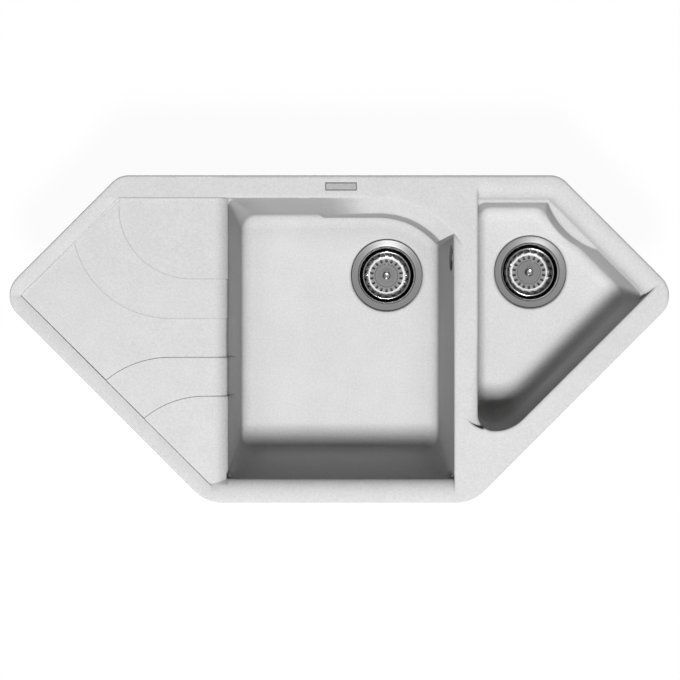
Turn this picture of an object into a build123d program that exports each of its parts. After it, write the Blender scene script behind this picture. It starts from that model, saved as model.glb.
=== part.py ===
from build123d import *
import os
from math import asin, atan2, cos, degrees, radians, sin, sqrt, tan

# Corner kitchen sink with a drainer, a main bowl and a small side bowl, in millimetres.
# +X runs to the right, +Y to the back edge against the wall corner, +Z up.
# The origin is on the worktop, in the middle of the sink's overall length and depth.

# ------------------------------------------------------------------ driving sizes
# outline of the rim: a hexagon whose slanting sides run at 45 degrees with these sizes
sink_width = 1000  # over the two rounded tips
sink_depth = 496  # back edge to front edge
back_length, front_length = 667.5, 403.5  # between the sharp corners
tip_from_back = 182  # the tips lie this far in front of the back edge
tip_radius = 38
back_corner_radius = 33
front_corner_radius = 60
rim_height = 10  # top of the rim above the worktop
rim_edge_radius = 3
rim_seat_width = 10  # flat ring under the rim that lies on the worktop, round the cut-out
wall = 10  # thickness of the moulding

# main bowl
ledge_width = 34  # flat ledge behind the main bowl and the drainer
main_width = 344
main_depth = 195
main_front_inset = 32
lean_left, lean_right, lean_back, lean_front = 16, 20, 20, 42  # how far each wall leans in, over the depth
main_top_corner, main_floor_corner = 6, 26
main_floor_fillet = 22
arc_radius = 144  # rim arc round the back right corner of the main bowl
arc_offset = 113  # arc centre to the bowl's right wall, at the rim

# sloping facet under the rim arc
facet_run = 23
facet_tilt = 42  # degrees from level
# to the left it grows as steep as the wall: places from the arc's centre, with the slope there
facet_fade = ((-125, 85.5), (-100, 84.5), (-75, 80), (-50, 67), (-25, 50), (0, facet_tilt))
facet_turns = (12, 24, 36, 48, 60)  # degrees round the arc
facet_end_low, facet_end_high = (91.5, 79.6), (114.5, 90.6)  # line of its right end, from the arc's centre

# divider and side bowl
divider_right_x = 209.5
divider_width = 35
small_depth = 155
small_back_inset = 40
small_diagonal_inset = 36.5
small_front_inset = 35
small_corner_radius = 60  # round front corner of the side bowl
small_corner_offset = 26.2  # centre of that corner from the bowl's left wall
small_lean_left, small_lean_back, small_lean_far, small_lean_front = 6, 3, 9.5, 8
small_top_corner, small_floor_corner, small_front_corner = 8, 26, 24
small_floor_fillet = 22
shoulder_start = 10  # where the rim begins to roll down into the side bowl
shoulder_run, shoulder_drop = 27, 26  # half axes of that roll
shoulder_end_angle = 78
shoulder_ledge_tilt = 35
shoulder_ledge_end = 62  # inwards from the edge, past the widest ledge
# lens-shaped ledge under the back half of the diagonal rim: along the side from the sharp tip, and inwards
lens_places = (137, 244)
lens_inset, lens_bulge = 38.5, 12

# rolled edges
front_roll_start, front_roll_run, front_roll_drop = 10, 27, 22
front_roll_end_angle, front_roll_ledge_tilt = 86, 45
band_start, band_width, band_end_tilt = 4, 23, 18  # sloping band round the drainer
drainer_roll_width, drainer_roll_tilt = 26.5, 40
divider_roll_width, divider_roll_drop = 22, 9
# where each of the divider's rolls is full and where it ends, in front of the back edge
left_roll_places, right_roll_places = (83, 296), (388.7, 234)
roll_overrun, small_roll_overrun = 0.2, 9  # straight on past the bowls' walls

# drainer
drainer_recess = 6
drainer_fall = 0.6  # degrees, towards the bowl
terrace_step = 1.5
terrace_shift = 0.8  # how far each lower terrace moves the roll out, per millimetre of its drop
drainer_fade_depth = 110  # where the roll's lower part runs out into the bowl's left wall
terrace_places = (123, 183, 242, 301)  # straight ends of the four steps, in front of the ledge
terrace_lengths = (55.5, 87.5, 87.5, 34.5)  # straight part of each, out from the main bowl
terrace_radii = (110, 149, 153, 144)

# waste outlets: z from the bowl's floor downwards
main_waste_place = (99.5, 114)  # left of the divider and in front of the ledge
small_waste_place = (90.5, 143.5)  # right of the divider and in front of the back edge
waste_hole_radius = 46.2
flange_radius = 57
flange_rebate = 2.5
gasket_thickness = 3
sheet = 1.2  # pressed steel
well_radius = 42.5
strainer_depth, throat_depth = 42, 56
throat_radius = 24
body_bore = 45.5
bell_depth, cone_depth, outlet_depth = 62, 80, 112
outlet_radius = 23.9  # outside of a 1 1/2 inch pipe thread
outlet_bore = 19.5
boss_top, boss_bottom = 66, 78
spigot_depth, spigot_reach = 45, 75

# strainer basket
basket_rim, basket_floor = 10.5, 32
basket_top, basket_foot = 36, 29  # radii
basket_slots = 18
wall_slot_width = 7
floor_slot = (6, 3.8)
stopper_top, stopper_bottom, stopper_radius = 38.5, 44.5, 28
knob_top = 14
nut_height = 3.5

# overflow
overflow_place = 90  # in front of the ledge
overflow_below_rim = 38
overflow_radius = 18
overflow_hole_radius = 14
rosette_thickness = 1.5
overflow_sink = 3.5  # depth of the counterbore that the rosette lies in
overflow_screw_length = 20  # its tip, from the bowl's wall
rosette_holes, rosette_hole_circle, rosette_hole_radius = 6, 9.8, 3.8
countersink_radius, countersink_depth = 5, 1.3
post_start = 8
overflow_seal_thickness = 2
hood_radius, hood_thickness, hood_bottom = 24, 14.3, 66
neck_width, neck_thickness = 22, 14.3
spigot_length = 18
pipe_radius, pipe_bore = 9, 7
pipe_bend = 25
pipe_from_bowl = 15.3  # axis of the upright pipe from the main bowl's rim
nut_sleeve_radius, nut_sleeve_length = 11.5, 24

# fixings under the rim
clip_inset = 18  # screw axis from the outer edge
back_clips = (0.375, -0.03, -0.42)  # along the back edge, as shares of its length from the middle
lug_bottom = 16  # below the worktop plane
lug_length, lug_depth = 24, 11.5
socket_radius, socket_length = 4, 12
screw_radius = 2.5
clip_sheet, clip_width, clip_drop = 2, 16, 34
clip_screw_reach = 10
clip_tab = 5.2
worktop_thickness = 28
pan_drop = 8  # the drainer's pan reaches this far below the worktop plane
collar_drop, collar_reach = 26, 2.5  # collar that carries the side bowl's shoulder: depth, extra wall

# small items
badge_size = (48, 12.2)
badge_x, badge_from_back = 2.5, 17
badge_sink, badge_thickness = 0.6, 1.2
seal_outer_inset, seal_inner_inset, seal_depth = 2.5, 7.5, 2
seal_play = 0.1
tap_hole_radius = 17.5
tap_from_bowl, tap_from_back = 0.5, 39  # beside the bowl's right wall and in front of the back edge
tap_skin = 4  # left above the blank tap hole

# clearances
running = 0.05  # radial, between turned fits
plug_clearance = 0.5
seat_gap = 0.1  # between the resting basket and its seat
overflow_play = 0.5  # radial, round the rosette
flange_play = 1.3  # radial, round the strainer's flange

# ------------------------------------------------------------------ derived places
back_y = sink_depth / 2
front_y = -sink_depth / 2
tip_y = back_y - tip_from_back
tip_x = sink_width / 2 + tip_radius * (sqrt(2) - 1)
back_right, back_left = (back_length / 2, back_y), (-back_length / 2, back_y)
tip_right, tip_left = (tip_x, tip_y), (-tip_x, tip_y)
front_right, front_left = (front_length / 2, front_y), (-front_length / 2, front_y)
top_z = rim_height
main_floor_z = top_z - main_depth
small_floor_z = top_z - small_depth
ledge_y = back_y - ledge_width
divider_left_x = divider_right_x - divider_width
main_left_x = divider_left_x - main_width
arc_x = divider_left_x - arc_offset
arc_y = ledge_y - arc_radius
drainer_z = top_z - drainer_recess
main_waste = (divider_left_x - main_waste_place[0], ledge_y - main_waste_place[1])
small_waste = (divider_right_x + small_waste_place[0], back_y - small_waste_place[1])
overflow_y = ledge_y - overflow_place
above = 40  # reach of cutters past the part
upwards = (Align.CENTER, Align.CENTER, Align.MIN)
downwards = (Align.CENTER, Align.CENTER, Align.MAX)
root2 = sqrt(2)

os.makedirs("parts", exist_ok=True)
made = []


def finish(piece, label):
    """label a finished piece and write it"""
    piece.label = label
    export_step(piece, f"parts/{label}.step")
    made.append(piece)


# ------------------------------------------------------------------ outlines
def rim_outline(inset=0):
    """face of the rim's outline, moved in by inset"""
    with BuildSketch() as s:
        with BuildLine() as line:
            Polyline(back_right, tip_right, front_right, front_left, tip_left, back_left, close=True)
        make_face(line.edges())
        fillet(s.vertices().group_by(Axis.Y)[-1], back_corner_radius)
        fillet(s.vertices().group_by(Axis.X)[0] + s.vertices().group_by(Axis.X)[-1], tip_radius)
        fillet(s.vertices().group_by(Axis.Y)[0], front_corner_radius)
        if inset:
            offset(amount=-inset, kind=Kind.INTERSECTION)
    return s.sketch


def main_section(share, grow, corner, z):
    """level section of the main bowl at a share of its depth, grown by the wall where asked"""
    left = main_left_x + lean_left * share - grow
    right = divider_left_x - lean_right * share + grow
    back = ledge_y - lean_back * share + grow
    front = front_y + main_front_inset + lean_front * share - grow
    radius = arc_radius - lean_back * share + grow
    half_turn = asin((right - arc_x) / radius) / 2
    middle = (arc_x + radius * sin(half_turn), arc_y + radius * cos(half_turn))
    end = (right, arc_y + radius * cos(2 * half_turn))
    with BuildSketch(Plane.XY.offset(z)) as s:
        with BuildLine() as line:
            Line((left, back), (arc_x, back))
            ThreePointArc((arc_x, back), middle, end)
            Polyline(end, (right, front), (left, front), (left, back))
        make_face(line.edges())
        corners = s.vertices().group_by(Axis.X)[0] + s.vertices().group_by(Axis.X)[-1]
        fillet(corners, corner)
    return s.sketch


def inwards(start, end):
    """unit vector square to a side of the outline that has its inside on the left"""
    return Vector(start[1] - end[1], end[0] - start[0]).normalized()


def side_line(start, end, inset):
    """a side of the outline moved inwards: a point on it and its direction"""
    return Vector(*start) + inwards(start, end) * inset, Vector(*end) - Vector(*start)


def crossing(first, second):
    """where two lines cross"""
    (p, u), (q, v) = first, second
    return p + u * (((q - p).X * v.Y - (q - p).Y * v.X) / (u.X * v.Y - u.Y * v.X))


# centre of the side bowl's round front corner: the corner touches the band along the front right side
corner_x = divider_right_x + small_corner_offset
corner_line = side_line(front_right, tip_right, small_front_inset + small_corner_radius)
corner_y = crossing(corner_line, (Vector(corner_x, 0), Vector(0, 1))).Y


def small_section(share, grow, corner, z, reach=0):
    """level section of the side bowl at a share of its depth; reach moves its two far sides outwards"""
    left = divider_right_x + small_lean_left * share - grow
    back = back_y - small_back_inset - small_lean_back * share + grow + reach
    far_line = side_line(tip_right, back_right, small_diagonal_inset + small_lean_far * share - grow - reach)
    near_line = side_line(front_right, tip_right, small_front_inset + small_lean_front * share - grow)
    radius = small_corner_radius - small_lean_front * share + grow
    outwards = inwards(tip_right, front_right)
    arc_end = (corner_x + radius * outwards.X, corner_y + radius * outwards.Y)
    drop = sqrt(radius**2 - (left - corner_x) ** 2)
    start = (left, corner_y - drop)
    turn = (atan2(outwards.Y, outwards.X) + atan2(-drop, left - corner_x)) / 2
    middle = (corner_x + radius * cos(turn), corner_y + radius * sin(turn))
    back_corner = crossing(far_line, (Vector(0, back), Vector(1, 0)))
    tip = crossing(far_line, near_line)
    with BuildSketch(Plane.XY.offset(z)) as s:
        with BuildLine() as line:
            Polyline(start, (left, back), (back_corner.X, back), (tip.X, tip.Y), arc_end)
            ThreePointArc(arc_end, middle, start)
        make_face(line.edges())
        fillet(s.vertices().filter_by(lambda v: v.Y > tip.Y - 1), corner)
        fillet(s.vertices().sort_by(Axis.Y)[0], small_front_corner + grow)
    return s.sketch


def edge_plane(point, inward):
    """plane across an edge of the rim: local x runs inwards from the outer edge, local y is up"""
    across = Vector(inward[0], inward[1], 0).normalized()
    return Plane((point[0], point[1], 0), x_dir=across, z_dir=across.cross(Vector(0, 0, 1)))


def side_plane(start, end, share=0.5):
    """the same at a share of the way along a side"""
    point = Vector(*start) + (Vector(*end) - Vector(*start)) * share
    across = inwards(start, end)
    return edge_plane((point.X, point.Y), (across.X, across.Y))


back_edge = side_plane(back_right, back_left)
front_edge = side_plane(front_left, front_right)
far_left_edge = side_plane(back_left, tip_left)
near_left_edge = side_plane(tip_left, front_left)
far_right_edge = side_plane(tip_right, back_right)
near_right_edge = side_plane(front_right, tip_right)


def space_over_roll(start, run, drop, end_angle, ledge_tilt, ledge_end, below=0):
    """section of the space over an edge that rolls down as part of an ellipse, then as a sloping ledge;
    past the ledge the space reaches further down where below is set"""
    with BuildLine() as line:
        end_x = start + run * sin(radians(end_angle))
        end_z = top_z - drop * (1 - cos(radians(end_angle)))
        ledge_z = end_z - (ledge_end - end_x) * tan(radians(ledge_tilt))
        floor_z = ledge_z - below
        centre = (start, top_z - drop)
        arc = EllipticalCenterArc(centre, run, drop, start_angle=90 - end_angle, arc_size=end_angle)
        ledge = Line(arc @ 0, (ledge_end, ledge_z))
        if below:
            ledge = Line(ledge @ 1, (ledge_end, floor_z))
        Polyline(
            ledge @ 1, (sink_width, floor_z), (sink_width, top_z + above), (start, top_z + above), arc @ 1
        )
    make_face(line.edges())


def space_over_shoulder():
    """section of the space over the far rims of the side bowl"""
    space_over_roll(
        shoulder_start,
        shoulder_run,
        shoulder_drop,
        shoulder_end_angle,
        shoulder_ledge_tilt,
        shoulder_ledge_end,
    )


def far_side_point(place, inset):
    """point at a place along the far right side, from its sharp tip, and moved inwards"""
    point, direction = side_line(tip_right, back_right, inset)
    point = point + direction.normalized() * place
    return point.X, point.Y


# ------------------------------------------------------------------ spaces cut out of the moulding
with BuildPart() as main_space:
    add(main_section(0, 0, main_top_corner, top_z))
    add(main_section(1, 0, main_floor_corner, main_floor_z))
    loft(ruled=True)
    fillet(main_space.edges().group_by(Axis.Z)[0], main_floor_fillet)

# the sloping facet under the rim arc: sections square to the rim, each the material below the facet;
# towards the left the facet grows as steep as the wall and so fades into it
def facet_section(point, inward, tilt):
    """section of the material that carries the facet, at one point of the rim"""
    slope = tan(radians(tilt))
    rise = wall
    with BuildSketch(edge_plane(point, inward)) as s:
        Polygon(
            (-rise / slope, top_z + rise),
            (facet_run, top_z - facet_run * slope),
            (facet_run, -sink_depth),
            (-facet_run, -sink_depth),
            (-facet_run, top_z + rise),
            align=None,
        )
    return s.sketch


with BuildPart() as facet_block:
    for x, tilt in facet_fade:
        add(facet_section((arc_x + x, ledge_y), (0, -1), tilt))
    for turn in facet_turns:
        inward = (-sin(radians(turn)), -cos(radians(turn)))
        on_arc = (arc_x - inward[0] * arc_radius, arc_y - inward[1] * arc_radius)
        add(facet_section(on_arc, inward, facet_tilt))
    loft()
    # the right end stops along a line from the bowl's floor up to the rim
    with BuildSketch(Plane.XY.offset(-sink_depth)):
        with BuildLine():
            low = (arc_x + facet_end_low[0], arc_y + facet_end_low[1])
            high = (arc_x + facet_end_high[0], arc_y + facet_end_high[1])
            low_side, high_side = (low[0] - above, low[1] - 3 * above), (high[0] + above, high[1] - above)
            Polyline(low, high, high_side, low_side, close=True)
        make_face()
    extrude(amount=2 * sink_depth, mode=Mode.SUBTRACT)

with BuildPart() as small_space:
    add(small_section(0, 0, small_top_corner, top_z))
    add(small_section(1, 0, small_floor_corner, small_floor_z))
    loft(ruled=True)
    fillet(small_space.edges().group_by(Axis.Z)[0], small_floor_fillet)

# the far rims of the side bowl roll down to a narrow sloping shoulder above its walls
with BuildPart() as small_shoulder:
    add(small_section(0, 0, 1, top_z, reach=small_back_inset))
    add(small_section(1, 0, 1, small_floor_z, reach=small_back_inset))
    loft(ruled=True)
    for edge in (back_edge, far_right_edge):
        with BuildSketch(edge):
            space_over_shoulder()
        extrude(amount=sink_width, both=True, mode=Mode.INTERSECT)

# material of the lens-shaped ledge: its edge bulges into the side bowl
with BuildPart() as lens_block:
    with BuildSketch(Plane.XY.offset(small_floor_z - 1)):
        with BuildLine():
            near_end, far_end = [far_side_point(place, lens_inset) for place in lens_places]
            middle = far_side_point(sum(lens_places) / 2, lens_inset + lens_bulge)
            ThreePointArc(near_end, middle, far_end)
            outer_far, outer_near = [far_side_point(place, wall) for place in reversed(lens_places)]
            Polyline(far_end, outer_far, outer_near, near_end)
        make_face()
    extrude(amount=small_depth)
    with BuildSketch(far_right_edge):
        space_over_shoulder()
    extrude(amount=sink_width, both=True, mode=Mode.SUBTRACT)


def space_over_front_roll(below=0):
    """section of the space over the front rim's roll"""
    space_over_roll(
        front_roll_start,
        front_roll_run,
        front_roll_drop,
        front_roll_end_angle,
        front_roll_ledge_tilt,
        front_roll_start + front_roll_run,
        below,
    )


with BuildPart() as front_roll:
    with BuildSketch(front_edge):
        space_over_front_roll()
    extrude(amount=sink_width, both=True)
    with BuildSketch(Plane.XY.offset(-above)):
        with Locations(((main_left_x + divider_left_x) / 2, front_y)):
            Rectangle(main_width, 2 * main_front_inset + 2 * wall)
    extrude(amount=2 * above + top_z, mode=Mode.INTERSECT)


def tapering_roll(edge_x, side, wide_y, narrow_y, lean, overrun):
    """space over the divider's edge, where a roll widens from nothing at narrow_y to its full size. It
    ends on the bowl's leaning wall, and runs on straight by the overrun past it"""
    with BuildPart() as roll:
        for y, share in ((wide_y, 1), (narrow_y, 0.02)):
            width, drop = divider_roll_width * share, divider_roll_drop * share
            foot = -drop * lean
            with BuildSketch(Plane((edge_x, y, top_z), x_dir=(side, 0, 0), z_dir=(0, -side, 0))):
                with BuildLine() as line:
                    radius = ((width - foot) ** 2 + drop**2) / (2 * drop)
                    end_tilt = degrees(asin((width - foot) / radius))
                    CenterArc((width, -radius), radius, 90, end_tilt)
                    past = foot - overrun * share
                    past_z = -drop - overrun * share * tan(radians(end_tilt))
                    Polyline((width, 0), (width, above), (past, above), (past, past_z), (foot, -drop))
                make_face(line.edges())
        loft(ruled=True)
    return roll.part


with BuildPart() as left_roll:
    wide_y, narrow_y = [back_y - place for place in left_roll_places]
    add(tapering_roll(divider_left_x, 1, wide_y, narrow_y, lean_right / main_depth, roll_overrun))
    with BuildSketch(Plane.XY):
        with Locations((arc_x, arc_y)):
            Circle(arc_radius)
        with Locations((arc_x, arc_y)):
            Rectangle(2 * arc_radius, arc_radius, align=(Align.CENTER, Align.MAX))
    extrude(amount=above, both=True, mode=Mode.INTERSECT)

with BuildPart() as right_roll:
    wide_y, narrow_y = [back_y - place for place in right_roll_places]
    add(tapering_roll(divider_right_x, -1, wide_y, narrow_y, small_lean_left / small_depth, small_roll_overrun))
    with BuildSketch(Plane.XY):
        with Locations((corner_x, corner_y)):
            Circle(small_corner_radius)
            Rectangle(2 * small_corner_radius, 2 * small_corner_radius, align=(Align.CENTER, Align.MIN))
    extrude(amount=above, both=True, mode=Mode.INTERSECT)

# ------------------------------------------------------------------ drainer
drainer_edge_x = main_left_x - drainer_roll_width


def terrace_edge(level):
    """where one terrace begins to roll down into the main bowl, and where the roll ends"""
    lower = terrace_step * level
    roll_drop = drainer_roll_width * tan(radians(drainer_roll_tilt / 2))
    start = (drainer_edge_x - lower * terrace_shift, drainer_z - lower)
    return start, (start[0] + drainer_roll_width, start[1] - roll_drop)


def drainer_profile(level):
    """section of the space over the drainer at one terrace: the falling panel and its roll"""
    (start_x, start_z), (end_x, end_z) = terrace_edge(level)
    radius = drainer_roll_width / sin(radians(drainer_roll_tilt))
    half_tilt = radians(drainer_roll_tilt / 2)
    middle = (start_x + radius * sin(half_tilt), start_z - radius * (1 - cos(half_tilt)))
    rise = (sink_width / 2) * tan(radians(drainer_fall))
    with BuildLine() as line:
        ThreePointArc((start_x, start_z), middle, (end_x, end_z))
        Polyline(
            (end_x, end_z),
            (main_left_x + wall, end_z),
            (main_left_x + wall, top_z + above),
            (start_x - sink_width / 2, top_z + above),
            (start_x - sink_width / 2, start_z + rise),
            (start_x, start_z),
        )
    make_face(line.edges())


def wall_shave(level):
    """space shaved off the top of the bowl's left wall below one terrace; it runs out further down, and
    stops where the bowl's corners begin"""
    end_x, end_z = terrace_edge(level)[1]
    fade_z = top_z - drainer_fade_depth
    wall_x = main_left_x + lean_left * (top_z - end_z) / main_depth
    fade_x = main_left_x + lean_left * drainer_fade_depth / main_depth
    front, back = front_y + main_front_inset, ledge_y
    with BuildPart() as shave:
        with BuildSketch(Plane.XZ):
            with BuildLine() as line:
                inside = ((fade_x + 1, fade_z), (wall_x + 1, end_z))
                Polyline((end_x, end_z), (fade_x, fade_z), *inside, close=True)
            make_face(line.edges())
        extrude(amount=sink_depth, both=True)
        with BuildSketch(Plane.YZ):
            with BuildLine() as line:
                Polyline(
                    (front + main_top_corner, top_z),
                    (back - main_top_corner, top_z),
                    (back - lean_back - main_floor_corner, main_floor_z),
                    (front + lean_front + main_floor_corner, main_floor_z),
                    close=True,
                )
            make_face(line.edges())
        extrude(amount=sink_width, both=True, mode=Mode.INTERSECT)
    return shave.part


def terrace_line(index, side):
    """one step of the drainer seen from above: straight from the bowl, then an arc out to the rim;
    side is 1 where the arc turns back and -1 where it turns to the front"""
    y, x, radius = ledge_y - terrace_places[index], main_left_x - terrace_lengths[index], terrace_radii[index]
    swing = 80
    far = (x - radius * sin(radians(swing)), y + side * radius * (1 - cos(radians(swing))))
    half = (x - radius * sin(radians(swing / 2)), y + side * radius * (1 - cos(radians(swing / 2))))
    return (main_left_x + main_width / 2, y), (x, y), half, far


def terrace_region(back_index, front_index):
    """the drainer between two of its steps, out past the rim on the left"""
    right_back, start_back, half_back, far_back = terrace_line(back_index, 1)
    right_front, start_front, half_front, far_front = terrace_line(front_index, -1)
    with BuildLine() as line:
        Line(right_back, start_back)
        ThreePointArc(start_back, half_back, far_back)
        Polyline(far_back, (far_back[0], sink_depth), (-sink_width, sink_depth), (-sink_width, -sink_depth))
        Polyline((-sink_width, -sink_depth), (far_front[0], -sink_depth), far_front)
        ThreePointArc(far_front, half_front, start_front)
        Polyline(start_front, right_front, right_back)
    make_face(line.edges())


def drainer_terrace(level, back_index=None, front_index=None):
    """space over one level of the drainer"""
    with BuildPart() as terrace:
        with BuildSketch(Plane.XZ.offset(-ledge_y)):
            drainer_profile(level)
        extrude(amount=sink_depth)
        add(wall_shave(level))
        if back_index is not None:
            with BuildSketch(Plane.XY.offset(-sink_depth / 2)):
                terrace_region(back_index, front_index)
            extrude(amount=sink_depth, mode=Mode.INTERSECT)
    return terrace.part


def space_inside_band():
    """section of the space over the sloping band that borders the drainer"""
    with BuildLine() as line:
        radius = (band_width - band_start) / sin(radians(band_end_tilt))
        arc = CenterArc((band_start, top_z - radius), radius, 90 - band_end_tilt, band_end_tilt)
        Polyline(
            arc @ 0,
            (band_width, -sink_depth),
            (2 * sink_width, -sink_depth),
            (2 * sink_width, top_z + above),
            (band_start, top_z + above),
            (band_start, top_z),
        )
    make_face(line.edges())


with BuildPart() as drainer_space:
    add(drainer_terrace(0))
    add(drainer_terrace(1, 0, 3))
    add(drainer_terrace(2, 1, 2))
    for edge in (far_left_edge, near_left_edge):
        with BuildSketch(edge):
            space_inside_band()
        extrude(amount=2 * sink_width, both=True, mode=Mode.INTERSECT)
    with BuildSketch(front_edge):
        space_over_front_roll(sink_depth)
    extrude(amount=2 * sink_width, both=True, mode=Mode.INTERSECT)

# ------------------------------------------------------------------ the moulding
# eight fixing points: x inwards from the outer edge, y up
fixing_planes = [
    *[side_plane(back_right, back_left, 0.5 + share) for share in back_clips],
    front_edge,
    far_left_edge,
    far_right_edge,
    near_left_edge,
    near_right_edge,
]

# plane on the main bowl's right wall at the overflow: z into the wall, y up along it
wall_fall = lean_right / main_depth
overflow_z = top_z - overflow_below_rim
overflow_plane = Plane(
    (divider_left_x - wall_fall * overflow_below_rim, overflow_y, overflow_z),
    x_dir=(0, 1, 0),
    z_dir=(1, 0, -wall_fall),
)

badge_place = (badge_x, back_y - badge_from_back, top_z - badge_sink)

with BuildPart() as main_shell:
    add(main_section(0, wall, main_top_corner + wall, top_z))
    add(main_section(1 + wall / main_depth, wall, main_floor_corner + wall, main_floor_z - wall))
    loft(ruled=True)
    fillet(main_shell.edges().group_by(Axis.Z)[0], main_floor_fillet + wall)

with BuildPart() as small_shell:
    add(small_section(0, wall, small_top_corner + wall, top_z))
    add(small_section(1 + wall / small_depth, wall, small_floor_corner + wall, small_floor_z - wall))
    loft(ruled=True)
    fillet(small_shell.edges().group_by(Axis.Z)[0], small_floor_fillet + wall)

with BuildPart() as basin:
    # rim, and the pan under the drainer
    add(rim_outline())
    extrude(amount=rim_height)
    fillet(basin.edges().group_by(Axis.Z)[-1], rim_edge_radius)
    with BuildSketch(Plane.XY.offset(-pan_drop)):
        add(rim_outline(rim_seat_width + 2))
        with Locations((main_left_x, 0)):
            Rectangle(sink_width, 2 * sink_depth, align=(Align.MIN, Align.CENTER), mode=Mode.SUBTRACT)
    extrude(amount=pan_drop)
    with Locations((drainer_edge_x - wall, (ledge_y + front_y + main_front_inset) / 2, -2 * wall)):
        Box(
            drainer_roll_width + 1.5 * wall,
            ledge_y - front_y - main_front_inset + 2 * wall,
            2 * wall,
            align=(Align.MIN, Align.CENTER, Align.MIN),
        )
    # fixing lugs
    for plane in fixing_planes:
        with BuildSketch(plane):
            with Locations((clip_inset - 6, 0)):
                Rectangle(lug_depth, lug_bottom, align=(Align.MIN, Align.MAX))
        extrude(amount=lug_length / 2, both=True)
    # the bowls, and the collar that carries the shoulder of the side bowl
    add(main_shell.part)
    add(small_shell.part)
    with BuildSketch(Plane.XY.offset(-collar_drop)):
        add(small_section(0, wall, small_top_corner + wall, 0, reach=collar_reach))
    extrude(amount=collar_drop)
    # everything that is open from above
    add(main_space.part - facet_block.part, mode=Mode.SUBTRACT)
    add(small_space.part - lens_block.part, mode=Mode.SUBTRACT)
    add(small_shoulder.part, mode=Mode.SUBTRACT)
    add(front_roll.part, mode=Mode.SUBTRACT)
    add(left_roll.part, mode=Mode.SUBTRACT)
    add(right_roll.part, mode=Mode.SUBTRACT)
    add(drainer_space.part, mode=Mode.SUBTRACT)
    # waste holes with a shallow rebate for the flange
    for (x, y), floor_z in ((main_waste, main_floor_z), (small_waste, small_floor_z)):
        with Locations((x, y, floor_z - wall)):
            Cylinder(waste_hole_radius, 2 * wall, align=upwards, mode=Mode.SUBTRACT)
        with Locations((x, y, floor_z - flange_rebate)):
            Cylinder(flange_radius + flange_play, flange_rebate, align=upwards, mode=Mode.SUBTRACT)
    # overflow hole with its counterbore
    with Locations(overflow_plane):
        Cylinder(overflow_radius + overflow_play, overflow_sink, align=upwards, mode=Mode.SUBTRACT)
        Cylinder(overflow_hole_radius, 2 * wall, align=upwards, mode=Mode.SUBTRACT)
    # blind tap hole from below, badge recess, groove for the rim seal
    with Locations((divider_left_x + tap_from_bowl, back_y - tap_from_back, 0)):
        Cylinder(tap_hole_radius, top_z - tap_skin, align=upwards, mode=Mode.SUBTRACT)
    with Locations(badge_place):
        Box(*badge_size, badge_sink, align=upwards, mode=Mode.SUBTRACT)
    with BuildSketch():
        add(rim_outline(seal_outer_inset - seal_play))
        add(rim_outline(seal_inner_inset + seal_play), mode=Mode.SUBTRACT)
    extrude(amount=seal_depth, mode=Mode.SUBTRACT)
    # sockets in the lugs
    for plane in fixing_planes:
        with BuildSketch(Plane(plane.origin + plane.x_dir * clip_inset - Vector(0, 0, lug_bottom))):
            Circle(socket_radius + running)
        extrude(amount=socket_length, mode=Mode.SUBTRACT)
finish(basin.part, "basin")

with BuildPart() as rim_seal:
    with BuildSketch(Plane.XY.offset(0.1)):
        add(rim_outline(seal_outer_inset))
        add(rim_outline(seal_inner_inset), mode=Mode.SUBTRACT)
    extrude(amount=seal_depth - 0.1)
finish(rim_seal.part, "rim_seal")

with BuildPart() as badge_plate:
    with Locations(badge_place):
        Box(badge_size[0] - 0.2, badge_size[1] - 0.2, badge_thickness, align=upwards)
    fillet(badge_plate.edges().filter_by(Axis.Z), 1)
    with BuildSketch(badge_plate.faces().sort_by(Axis.Z)[-1]):
        RectangleRounded(badge_size[0] - 2, badge_size[1] - 2, 0.6)
    extrude(amount=-0.2, mode=Mode.SUBTRACT)
finish(badge_plate.part, "badge_plate")

# ------------------------------------------------------------------ fixings under the rim
def dome(radius, z, height):
    """arc from the rim of a domed or dished top to its middle on the axis; height is below 0 for a dish"""
    return RadiusArc((radius, z), (0, z + height), -(radius**2 + height**2) / (2 * height))


# drawn once around the screw axis: x inwards, z up, origin on the worktop plane at the screw axis
with BuildPart() as clip_socket:
    with Locations((0, 0, -lug_bottom)):
        Cylinder(socket_radius, socket_length, align=upwards)
        Cylinder(screw_radius, socket_length, align=upwards, mode=Mode.SUBTRACT)
    fillet(clip_socket.edges().filter_by(GeomType.CIRCLE).sort_by(Axis.Z)[-1], 0.3)

with BuildPart() as fixing_clip:
    with BuildSketch(Plane.XZ):
        with BuildLine():
            Polyline(
                (clip_tab, -lug_bottom),
                (-8, -lug_bottom),
                (-8, clip_sheet - clip_drop),
                (4 - clip_inset, clip_sheet - clip_drop),
                (4 - clip_inset, -worktop_thickness),
                (4 - clip_sheet - clip_inset, -worktop_thickness),
                (4 - clip_sheet - clip_inset, -clip_drop),
                (clip_sheet - 8, -clip_drop),
                (clip_sheet - 8, -lug_bottom - clip_sheet),
                (clip_tab, -lug_bottom - clip_sheet),
                close=True,
            )
        make_face()
    extrude(amount=clip_width / 2, both=True)
    Cylinder(screw_radius + 0.25, 4 * clip_drop, mode=Mode.SUBTRACT)

with BuildPart() as clip_screw:
    with BuildSketch(Plane.XZ):
        with BuildLine():
            head_z = -lug_bottom - clip_sheet
            Polyline(
                (0, clip_screw_reach - lug_bottom),
                (screw_radius, clip_screw_reach - lug_bottom),
                (screw_radius, head_z),
                (4.75, head_z),
                (4.75, head_z - 1.6),
            )
            dome(4.75, head_z - 1.6, -1.7)
            Line((0, head_z - 3.3), (0, clip_screw_reach - lug_bottom))
        make_face()
    revolve(axis=Axis.Z)

fixing_locations = [
    Location(Plane(plane.origin + plane.x_dir * clip_inset, x_dir=plane.x_dir, z_dir=(0, 0, 1)))
    for plane in fixing_planes
]


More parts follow.
